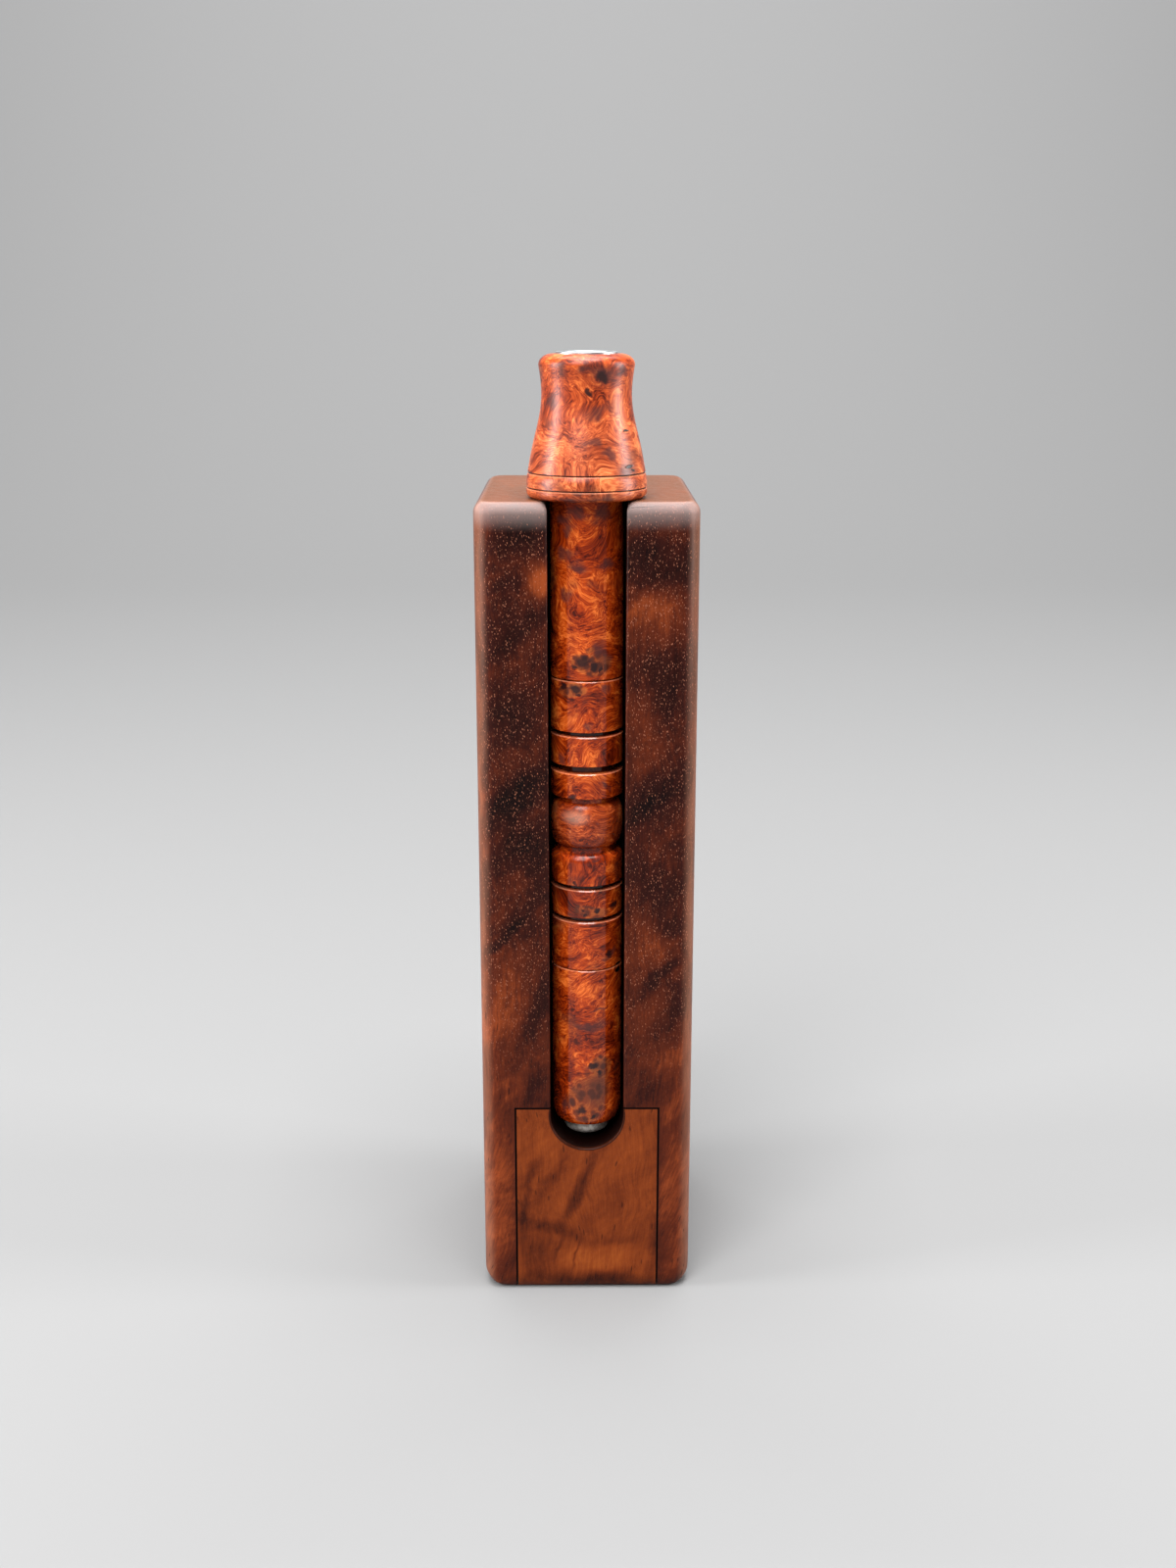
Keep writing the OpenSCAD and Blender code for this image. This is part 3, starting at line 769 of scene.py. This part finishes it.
head_burl = burl(
    "burl_head", crowding=0.02, eyes=[
     (2.0, 139.7, 1.00, 0.80, 0), (0.1, 137.6, 0.55, 0.60, 30), (-0.6, 100.1, 1.10, 1.00, 0),
     (-1.85, 99.3, 0.55, 0.50, 0), (1.0, 99.4, 0.55, 0.80, 0), (2.1, 98.8, 0.30, 0.40, 0)],
    clusters=[(0.5, 99.6, 3.2, 1.7, 0), (0.2, 101.9, 0.9, 0.5, 0)],
    smokes=[
     (2.0, 139.9, 2.0, 1.5, 0), (-0.1, 140.6, 0.9, 0.7, 0), (-3.1, 140.9, 0.8, 0.8, 0),
     (4.7, 140.3, 0.9, 0.9, 0), (1.3, 134.9, 1.3, 0.9, 0), (-4.7, 136.0, 0.9, 1.6, 0),
     (0.8, 130.8, 1.2, 0.8, 0), (2.9, 129.2, 1.1, 0.7, 0), (5.6, 127.2, 2.0, 1.4, 10),
     (-1.4, 124.4, 1.2, 0.5, 0), (-2.2, 123.1, 1.4, 0.5, 0), (3.2, 123.1, 1.2, 0.5, 0),
     (-1.5, 121.2, 1.6, 0.9, 0), (-3.3, 120.3, 1.2, 1.0, 0), (1.9, 120.8, 1.5, 1.2, 0),
     (-2.8, 119.0, 0.8, 0.7, 0), (-3.2, 115.2, 1.3, 1.1, 0), (-1.2, 113.6, 1.6, 0.8, 0),
     (2.8, 113.9, 1.1, 0.9, 0), (-3.0, 109.6, 1.0, 0.9, 0), (1.6, 101.6, 1.1, 1.4, 0),
     (2.8, 100.2, 1.0, 1.2, 0)],
    cracks=[(5.9, 127.6, 0.85, 0.22, 6), (5.5, 132.4, 0.70, 0.18, 0),
            (6.4, 127.1, 0.45, 0.16, -10)],
    cuts=[(low_line_z + 0.08*MM, low_line_z + 0.28*MM),
          (high_line_z + 0.08*MM, high_line_z + 0.28*MM),
          (head_low.z - 0.10*MM, head_low.z + 0.11*MM)])


def scribed(z, r):
    """A line scribed round a turned surface: its lower flank is eased to catch the light."""
    return [(r, z - 0.02*MM), (r - 0.13*MM, z + 0.10*MM), (r - 0.20*MM, z + 0.15*MM),
            (r - 0.19*MM, z + scribe_w - 0.02*MM), (r - 0.02*MM, z + scribe_w)]


def quarter(centre_r, centre_z, reach_r, reach_z, begin, end, steps):
    """Points on an upright ellipse between two angles in degrees."""
    angles = [math.radians(begin + (end - begin)*step/steps) for step in range(steps + 1)]
    return [(centre_r + reach_r*math.cos(angle), centre_z + reach_z*math.sin(angle))
            for angle in angles]


flare_steps = 18
flare = []
for step in range(flare_steps + 1):
    along = step/flare_steps
    drawn = flare_draw*along*(1 - along)**4
    flare.append(((head_r + waist_r)/2 + (head_r - waist_r)/2*math.cos(math.pi*along) - drawn,
                  band_z + along*flare_h))
above_line = 3           # the flare's first step that is clear of the upper line
lip_steps = 8
lip = []
for step in range(1, lip_steps + 1):
    along = step/lip_steps
    lip.append((waist_r + (lip_r - waist_r)*(1 - math.cos(math.pi/2*along)),
                waist_z + along*(lip_z - waist_z)))
outline = [(socket_r, head_low.z), (stem_r - joint_ease, head_low.z),
           (stem_r, head_low.z + joint_ease), (stem_r, seat_z), (head_r, seat_z)]
seat_corner = len(outline) - 1
outline += scribed(low_line_z, head_r) + [flare[0]] + scribed(high_line_z, high_line_r)
outline += flare[above_line:] + lip
outline += quarter(lip_r - lip_round, lip_z, lip_round, rim_z - lip_z, 0, 90, 8)[1:]
outline += [(liner_r, rim_z), (liner_r, liner_low.z), (bore_r, liner_low.z),
            (bore_r, head_low.z + socket_h), (socket_r, head_low.z + socket_h),
            (socket_r, head_low.z)]
head = solid(turned_mesh, outline, {seat_corner: seat_round})
finish_piece(head, "burl_head_section", head_burl, "head", ["head_section"])

# ---------------------------------------------------------------- Mouth liner
# A short metal tube pressed into the head's mouth, standing just proud of
# the wood, faced and polished on its rim.

polished, tree, shader = new_material("polished_liner")
shader.inputs["Metallic"].default_value = 1.0
place = put(tree, "ShaderNodeTexCoord").outputs["Object"]
marks = noise(tree, stretched(tree, place, (600, 600, 6000)), detail=3.0)
tree.links.new(ramp(tree, marks, [(0.3, (0.42, 0.45, 0.47)), (0.7, (0.56, 0.59, 0.61))]),
               shader.inputs["Base Color"])
tree.links.new(span(tree, marks, 0.3, 0.7, 0.34, 0.44), shader.inputs["Roughness"])
bumped(tree, shader, marks, 0.000004, 0.2)
liner_wall = 0.7*MM
rim_ease = 0.15*MM
liner_in = liner_r - liner_wall
liner = solid(turned_mesh,
              [(liner_in, liner_low.z), (liner_r, liner_low.z), (liner_r, liner_high.z),
               (liner_in, liner_high.z), (liner_in, liner_low.z)], {2: rim_ease, 3: rim_ease})
finish_piece(liner, "polished_mouth_liner", polished, "head", ["mouth_liner"])

# ---------------------------------------------------------------- Middle barrel
# Turned burl with rings, narrow parted cuts and a bead between two necks.
# The lower lip of each cut is broken with a touch of the tool.

middle_low, middle_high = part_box("middle_barrel")
core_low, core_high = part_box("core_tube")
core_r = (core_high.x - core_low.x)/2
plain_h = 7.6*MM
ring_a_h = 4.4*MM
ring_b_h = 3.8*MM
ring_c_h = 4.7*MM
ring_d_h = 4.3*MM
shoulder_h = 1.3*MM
bead_h = 6.8*MM
roll_h = 0.4*bead_h
neck_r = 4.35*MM
neck_h = 0.9*MM
cut_w = 0.7*MM
wide_cut_w = 1.1*MM
cut_d = 0.7*MM
wide_cut_d = 1.0*MM
lip_ease = 0.16*MM
upper_ease = 0.06*MM
turned_in = stem_r - neck_r


def parted(z, width, depth):
    """A square cut, going up: its lower lip is eased to catch the light."""
    floor_r = stem_r - depth
    return [(stem_r, z - lip_ease), (stem_r - lip_ease, z), (floor_r, z), (floor_r, z + width),
            (stem_r - upper_ease, z + width), (stem_r, z + width + upper_ease)]


low_cut = middle_low.z + plain_h
next_cut = low_cut + cut_w + ring_d_h
shoulder_z = next_cut + cut_w + ring_c_h
bead_low = shoulder_z + neck_h
bead_high = bead_low + bead_h
ring_b_z = bead_high + neck_h
wide_cut = ring_b_z + ring_b_h
high_cut = wide_cut + wide_cut_w + ring_a_h
outline = [(core_r, middle_low.z), (stem_r - joint_ease, middle_low.z),
           (stem_r, middle_low.z + 0.15*MM)]
outline += parted(low_cut, cut_w, cut_d) + parted(next_cut, cut_w, cut_d)
outline += quarter(neck_r, shoulder_z - shoulder_h, turned_in, shoulder_h, 0, 90, 6)
outline += quarter(neck_r, bead_low + roll_h, turned_in, roll_h, -90, 0, 8)
outline += quarter(neck_r, bead_high - roll_h, turned_in, roll_h, 0, 90, 8)
outline += [(neck_r, ring_b_z), (stem_r - 0.1*MM, ring_b_z), (stem_r, ring_b_z + 0.1*MM)]
outline += parted(wide_cut, wide_cut_w, wide_cut_d) + parted(high_cut, cut_w, cut_d)
outline += [(stem_r, middle_high.z - joint_ease), (stem_r - joint_ease, middle_high.z),
            (core_r, middle_high.z), (core_r, middle_low.z)]
middle_burl = burl(
    "burl_middle", crowding=0.02, bead=(bead_low, bead_high), eyes=[
     (-1.6, 96.1, 0.95, 0.80, 0), (-3.4, 96.5, 0.60, 0.50, 0), (-1.3, 95.2, 0.40, 0.30, 0),
     (-2.1, 79.7, 0.75, 0.60, 0), (0.7, 66.0, 0.45, 0.40, 0), (-1.8, 66.6, 0.28, 0.28, 0),
     (-0.6, 62.6, 0.30, 0.30, 0), (-0.2, 61.8, 0.25, 0.25, 0), (1.5, 62.5, 0.50, 0.42, 0),
     (4.0, 62.9, 0.75, 0.60, 0), (3.3, 55.3, 0.55, 0.55, 0)],
    clusters=[(-2.0, 95.8, 2.2, 1.2, 0), (1.0, 62.4, 2.6, 1.0, 0)],
    smokes=[
     (3.0, 96.0, 0.8, 0.5, 0), (0.1, 91.0, 0.8, 0.6, 0), (2.7, 81.3, 0.5, 1.0, 30),
     (1.2, 70.2, 0.9, 0.4, 0), (3.3, 55.3, 0.9, 0.8, 0), (-3.6, 85.5, 0.8, 1.0, 0)],
    cracks=[(4.7, 53.2, 0.7, 0.20, 0), (0.7, 66.1, 0.10, 0.10, 0)],
    cuts=[(middle_low.z - 0.15*MM, middle_low.z + 0.10*MM), (low_cut, low_cut + cut_w),
          (next_cut, next_cut + cut_w), (wide_cut, wide_cut + wide_cut_w),
          (high_cut, high_cut + cut_w), (middle_high.z - 0.09*MM, middle_high.z + 0.11*MM)])
middle = solid(turned_mesh, outline, {})
finish_piece(middle, "burl_middle_barrel", middle_burl, "stem", ["middle_barrel"])

# ---------------------------------------------------------------- Lower barrel
# Plain turned burl with a well rounded end, glued on the core tube under the
# middle barrel. An open crack runs out at its top edge.

lower_burl = burl(
    "burl_lower", crowding=0.03, flow=0.0050, slant=34, eyes=[
     (-0.8, 30.2, 0.75, 0.80, 0), (0.9, 37.6, 0.80, 0.55, 10), (1.9, 36.4, 0.45, 0.40, 0),
     (0.9, 29.0, 0.50, 0.35, 0)],
    clusters=[(0.6, 32.4, 3.2, 4.4, -20), (2.0, 37.0, 1.9, 2.0, 0)],
    smokes=[
     (-3.0, 30.6, 0.9, 1.2, 0), (1.0, 33.4, 2.2, 2.6, 0), (2.2, 46.5, 1.6, 0.25, 12),
     (-1.5, 33.2, 0.8, 1.2, 40), (1.6, 37.4, 1.6, 0.9, 0), (0.2, 44.0, 3.0, 0.8, 0)],
    cracks=[(4.7, 52.2, 0.8, 0.50, 0), (2.5, 46.5, 0.05, 0.05, 0)],
    cuts=[(stem_high.z - 0.05*MM, stem_high.z + 0.15*MM)])
end_w = 1.0*MM
end_h = 2.4*MM
outline = [(core_r, stem_low.z)]
outline += quarter(stem_r - end_w, stem_low.z + end_h, end_w, end_h, -90, 0, 12)
outline += [(stem_r, stem_high.z - joint_ease), (stem_r - joint_ease, stem_high.z),
            (core_r, stem_high.z), (core_r, stem_low.z)]
lower = solid(turned_mesh, outline, {})
finish_piece(lower, "burl_lower_barrel", lower_burl, "stem", ["lower_barrel"])

# ---------------------------------------------------------------- Core and discs
# The hidden core tube is turned steel with the lathe's marks left on it. The
# four discs are nickel plated magnets glued into the case and the drawer.


def turned_metal(name, colour, rough_low, rough_high):
    """Metal with the fine rings that a lathe tool leaves."""
    material, tree, shader = new_material(name)
    shader.inputs["Metallic"].default_value = 1.0
    place = put(tree, "ShaderNodeTexCoord").outputs["Object"]
    rings = noise(tree, stretched(tree, place, (300, 300, 9000)), detail=3.0)
    soil = noise(tree, place, 900.0, detail=4.0)
    soiled = tuple(0.55*part for part in colour)
    retinted = mixed(tree, span(tree, soil, 0.4, 0.75, 0.0, 0.5), colour, soiled)
    tree.links.new(retinted, shader.inputs["Base Color"])
    tree.links.new(span(tree, rings, 0.3, 0.7, rough_low, rough_high),
                   shader.inputs["Roughness"])
    bumped(tree, shader, rings, 0.00001, 0.4)
    return material


def recoat(node, material):
    """Gives a CAD piece its finish."""
    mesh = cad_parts[node].data
    mesh.materials.clear()
    mesh.materials.append(material)


recoat("core_tube", turned_metal("turned_steel", (0.60, 0.58, 0.55), 0.28, 0.42))
nickel = turned_metal("nickel_plate", (0.72, 0.70, 0.66), 0.18, 0.30)
for disc in ("cradle_magnet_upper", "cradle_magnet_lower", "bay_magnet", "drawer_magnet"):
    recoat(disc, nickel)

# ---------------------------------------------------------------- End ferrule
# A dome of satin grey metal that closes the stem's lower end. Its spigot is
# pressed into the core tube, and skin and dust have dulled it.

ferrule_low, ferrule_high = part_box("end_ferrule")
dome_r = (ferrule_high.x - ferrule_low.x)/2
dome_h = stem_low.z - ferrule_low.z
dome_side = 1.2*MM
outline = [(bore_r, ferrule_low.z)]
outline += quarter(bore_r, stem_low.z - dome_side, dome_r - bore_r, dome_h - dome_side,
                   -90, 0, 12)
outline += [(dome_r, stem_low.z), (core_r, stem_low.z), (core_r, ferrule_high.z),
            (bore_r, ferrule_high.z), (bore_r, ferrule_low.z)]
ferrule = solid(turned_mesh, outline, {})
satin, tree, shader = new_material("satin_ferrule")
shader.inputs["Metallic"].default_value = 0.75
place = put(tree, "ShaderNodeTexCoord").outputs["Object"]
soil = noise(tree, place, 1600.0, detail=4.0)
tree.links.new(ramp(tree, soil, [(0.35, (0.36, 0.31, 0.27)), (0.60, (0.64, 0.60, 0.55))]),
               shader.inputs["Base Color"])
tree.links.new(span(tree, soil, 0.3, 0.7, 0.58, 0.44), shader.inputs["Roughness"])
bumped(tree, shader, soil, 0.00001, 0.3)
finish_piece(ferrule, "domed_ferrule", satin, "stem", ["end_ferrule"])

# ---------------------------------------------------------------- Seals
# Two rings of dusty black rubber, stretched into seats round the tenon so
# that the head grips when it is pushed on.

rubber, tree, shader = new_material("seal_rubber")
place = put(tree, "ShaderNodeTexCoord").outputs["Object"]
dust = noise(tree, place, 4000.0, detail=3.0)
tree.links.new(ramp(tree, dust, [(0.3, (0.012, 0.012, 0.012)), (0.8, (0.035, 0.034, 0.032))]),
               shader.inputs["Base Color"])
tree.links.new(span(tree, dust, 0.3, 0.7, 0.55, 0.75), shader.inputs["Roughness"])
for ring in ("seal_upper", "seal_lower"):
    recoat(ring, rubber)

# ---------------------------------------------------------------- Studio
# A pale seamless sweep with a soft lamp overhead, one high in front, one at
# each side and one for the backdrop. The camera looks down a little on the case.


def lamp(name, place, aim, size, power):
    """A soft oblong lamp pointed at a place."""
    data = bpy.data.lights.new(name, "AREA")
    data.shape = "RECTANGLE"
    data.size, data.size_y = size
    data.energy = power
    made = bpy.data.objects.new(name, data)
    made.location = place
    made.rotation_euler = (Vector(aim) - Vector(place)).to_track_quat("-Z", "Y").to_euler()
    bpy.context.scene.collection.objects.link(made)


def sweep_mesh(bm):
    """Floor and backdrop in one, with a round bend between them."""
    half_width = 2.5
    near = -1.2
    far = 1.6
    top = 2.4
    bend = 0.9
    verts = [bm.verts.new(corner) for corner in ((0, near, 0), (0, far, 0), (0, far, top))]
    for first, second in zip(verts, verts[1:]):
        bm.edges.new((first, second))
    bmesh.ops.bevel(bm, geom=[verts[1]], offset=bend, segments=24, profile=0.5,
                    affect="VERTICES", material=-1)
    bmesh.ops.translate(bm, vec=(-half_width, 0, 0), verts=bm.verts[:])
    grown = bmesh.ops.extrude_edge_only(bm, edges=bm.edges[:])
    side = [part for part in grown["geom"] if isinstance(part, bmesh.types.BMVert)]
    bmesh.ops.translate(bm, vec=(2*half_width, 0, 0), verts=side)
    bmesh.ops.recalc_face_normals(bm, faces=bm.faces[:])


paper, tree, shader = new_material("pale_paper")
shader.inputs["Base Color"].default_value = (0.205, 0.205, 0.205, 1)
shader.inputs["Roughness"].default_value = 0.9
shader.inputs["Specular IOR Level"].default_value = 0.2
backdrop = solid(sweep_mesh)
backdrop.name = "sweep"
backdrop.data.materials.append(paper)
backdrop.data.shade_smooth()

middle_of_case = (0, 0, case_h*0.6)
lamp("overhead", (0.0, -0.12, 0.85), middle_of_case, (0.50, 0.45), 12.5)
lamp("high front", (-0.25, -0.62, 0.72), middle_of_case, (0.50, 0.50), 8.5)
lamp("left side", (-0.62, -0.12, 0.22), middle_of_case, (0.16, 0.45), 5.0)
lamp("right side", (0.62, -0.06, 0.24), middle_of_case, (0.16, 0.45), 4.6)
lamp("backdrop", (0.0, 0.75, 1.50), (0, 1.6, 0.35), (1.6, 0.4), 42.0)

world = bpy.data.worlds.new("studio")
bpy.context.scene.world = world
world.use_nodes = True
world.node_tree.nodes["Background"].inputs["Color"].default_value = (0.95, 0.97, 1.0, 1)
world.node_tree.nodes["Background"].inputs["Strength"].default_value = 0.18

camera_data = bpy.data.cameras.new("camera")
camera_data.lens = 40.0
camera_data.sensor_width = 36.0
camera_data.clip_start = 0.01
camera_aside = -1.2*MM
camera_reach = 243.4*MM
camera_height = 148.7*MM
look_down = math.radians(15.27)
look_right = math.radians(0.32)
camera = bpy.data.objects.new("camera", camera_data)
camera.location = (camera_aside, case_low.y - camera_reach, camera_height)
camera.rotation_euler = (math.pi/2 - look_down, 0, -look_right)
bpy.context.scene.collection.objects.link(camera)
bpy.context.scene.camera = camera
bpy.context.scene.view_settings.view_transform = "Standard"
